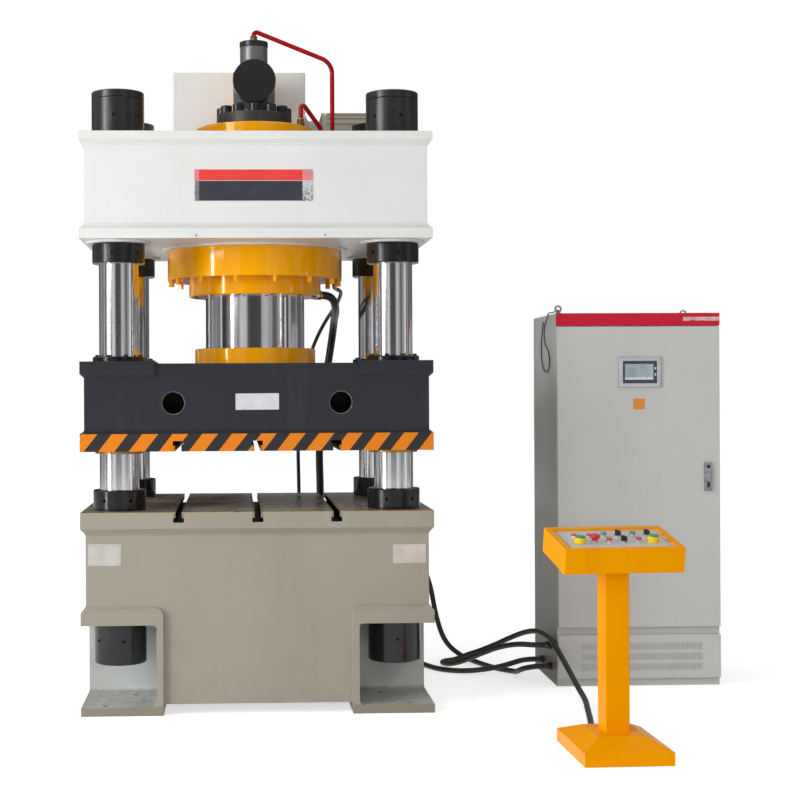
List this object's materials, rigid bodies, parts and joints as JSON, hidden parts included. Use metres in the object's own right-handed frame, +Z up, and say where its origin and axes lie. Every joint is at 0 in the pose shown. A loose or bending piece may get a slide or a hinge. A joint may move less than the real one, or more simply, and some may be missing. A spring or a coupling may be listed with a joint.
{
  "type": "hydraulic press",
  "caption": "Column-type hydraulic press with T-slotted bed and moving slide, overhead cylinder and oil unit, control cabinet, pedestal console and connecting cables.",
  "frame": {"origin": "on the floor, under the middle of the press, at the centre of the foundation-bolt pattern", "axes": "+Z up, +X to the operator's right, +Y away from the operator"},
  "size_m": [3.0585, 2.6495, 3.2102],
  "materials": {
    "bed_paint": "semi-gloss beige-grey machine paint",
    "column_chrome": "ground and hard-chromed",
    "ram_chrome": "ground and hard-chromed",
    "bezel_chrome": "bright",
    "black_steel": "black oxide, lightly oiled",
    "crown_paint": "semi-gloss off-white",
    "hydraulic_paint": "gloss orange-yellow",
    "bronze": "machined bronze",
    "packing_rubber": "matt",
    "valve_paint": "dark grey casting",
    "pipe_paint": "gloss deep red",
    "brass": "machined",
    "tank_paint": "light warm grey",
    "cast_iron": "plain",
    "slide_paint": "semi-gloss dark slate",
    "cabinet_paint": "fine textured light grey",
    "red_paint": "gloss red",
    "galvanised": "zinc plated",
    "grey_plastic": "matt dark grey",
    "console_paint": "gloss yellow-orange",
    "panel_paint": "light grey, satin",
    "green_plastic": "gloss",
    "red_plastic": "gloss",
    "black_plastic": "gloss",
    "black_rubber": "smooth sheath"
  },
  "bodies": {
    "frame": {"bed": "bed_paint", "bed_feet": "bed_paint", "columns": "column_chrome", "inner_nuts": "black_steel", "lock_nuts": "black_steel", "column_caps": "black_steel", "crown": "crown_paint", "main_cylinder": "hydraulic_paint", "cylinder_bolts": "hydraulic_paint", "gland_ring": "hydraulic_paint", "ram_guide_bush": "bronze", "gland_packing": "packing_rubber", "filling_valve": "valve_paint", "valve_screws": "black_steel", "valve_covers": "black_steel", "suction_pipe": "hydraulic_paint", "control_pipes": "pipe_paint", "pipe_fittings": "brass", "valve_manifold": "black_steel", "oil_tank": "tank_paint", "oil_pump": "cast_iron", "pump_motor": "tank_paint", "junction_box": "cabinet_paint", "cabinet_body": "cabinet_paint", "header_strip": "red_paint", "vent_panel": "cabinet_paint", "mounting_plate": "galvanised", "switchgear": "grey_plastic", "lifting_eyes": "galvanised", "console_stand": "console_paint", "console_box": "console_paint", "control_panel": "panel_paint", "control_bezels": "bezel_chrome", "cable_glands": "black_plastic", "main_hose": "black_rubber", "drain_hose": "black_rubber", "motor_cable": "black_rubber", "valve_cable": "black_rubber", "console_cable": "black_rubber", "tie_cord": "black_rubber"},
    "slide": {"slide_beam": "slide_paint", "slide_bushes": "bronze", "guide_caps": "black_steel", "ram": "ram_chrome", "ram_flange": "hydraulic_paint", "piston_seals": "packing_rubber"},
    "door": {"cabinet_door": "cabinet_paint", "touch_screen": "grey_plastic", "lock_plate": "galvanised"},
    "lever": {"lock_lever": "galvanised"},
    "palm_button_left_body": {"palm_button_left": "green_plastic"},
    "palm_button_right_body": {"palm_button_right": "green_plastic"},
    "emergency_stop_body": {"emergency_stop": "red_plastic"},
    "green_button_left_body": {"green_button_left": "green_plastic"},
    "green_button_right_body": {"green_button_right": "green_plastic"},
    "red_button_left_body": {"red_button_left": "red_plastic"},
    "red_button_right_body": {"red_button_right": "red_plastic"},
    "selector_back_left_body": {"selector_back_left": "black_plastic"},
    "selector_back_right_body": {"selector_back_right": "black_plastic"},
    "selector_front_body": {"selector_front": "black_plastic"}
  },
  "joints": [
    {"name": "slide_travel", "type": "slide", "parent": "frame", "child": "slide", "axis": [0, 0, 1], "range_m": [-0.16, 0.2]},
    {"name": "door_hinge", "type": "hinge", "parent": "frame", "child": "door", "pos_m": [1.472, -0.063, 1.02], "axis": [0, 0, -1], "range_deg": [0, 105]},
    {"name": "lever_fold", "type": "hinge", "parent": "door", "child": "lever", "pos_m": [2.205, -0.0857, 0.9607], "axis": [1, 0, 0], "range_deg": [0, 45]},
    {"name": "palm_button_left_press", "type": "slide", "parent": "frame", "child": "palm_button_left_body", "axis": [0.0199, -0.207, 0.9781], "range_m": [-0.004, 0], "stiffness_N_per_m": 900, "springref_m": 0.003},
    {"name": "palm_button_right_press", "type": "slide", "parent": "frame", "child": "palm_button_right_body", "axis": [0.0199, -0.207, 0.9781], "range_m": [-0.004, 0], "stiffness_N_per_m": 900, "springref_m": 0.003},
    {"name": "emergency_stop_press", "type": "slide", "parent": "frame", "child": "emergency_stop_body", "axis": [0.0199, -0.207, 0.9781], "range_m": [-0.004, 0]},
    {"name": "green_button_left_press", "type": "slide", "parent": "frame", "child": "green_button_left_body", "axis": [0.0199, -0.207, 0.9781], "range_m": [-0.004, 0], "stiffness_N_per_m": 900, "springref_m": 0.003},
    {"name": "green_button_right_press", "type": "slide", "parent": "frame", "child": "green_button_right_body", "axis": [0.0199, -0.207, 0.9781], "range_m": [-0.004, 0], "stiffness_N_per_m": 900, "springref_m": 0.003},
    {"name": "red_button_left_press", "type": "slide", "parent": "frame", "child": "red_button_left_body", "axis": [0.0199, -0.207, 0.9781], "range_m": [-0.004, 0], "stiffness_N_per_m": 900, "springref_m": 0.003},
    {"name": "red_button_right_press", "type": "slide", "parent": "frame", "child": "red_button_right_body", "axis": [0.0199, -0.207, 0.9781], "range_m": [-0.004, 0], "stiffness_N_per_m": 900, "springref_m": 0.003},
    {"name": "selector_back_left_turn", "type": "hinge", "parent": "frame", "child": "selector_back_left_body", "pos_m": [1.43214, -1.43082, 0.85998], "axis": [0.0199, -0.207, 0.9781], "range_deg": [-65, 25]},
    {"name": "selector_back_right_turn", "type": "hinge", "parent": "frame", "child": "selector_back_right_body", "pos_m": [1.55158, -1.41932, 0.85998], "axis": [0.0199, -0.207, 0.9781], "range_deg": [-65, 25]},
    {"name": "selector_front_turn", "type": "hinge", "parent": "frame", "child": "selector_front_body", "pos_m": [1.43926, -1.50482, 0.84418], "axis": [0.0199, -0.207, 0.9781], "range_deg": [-65, 25]}
  ]
}
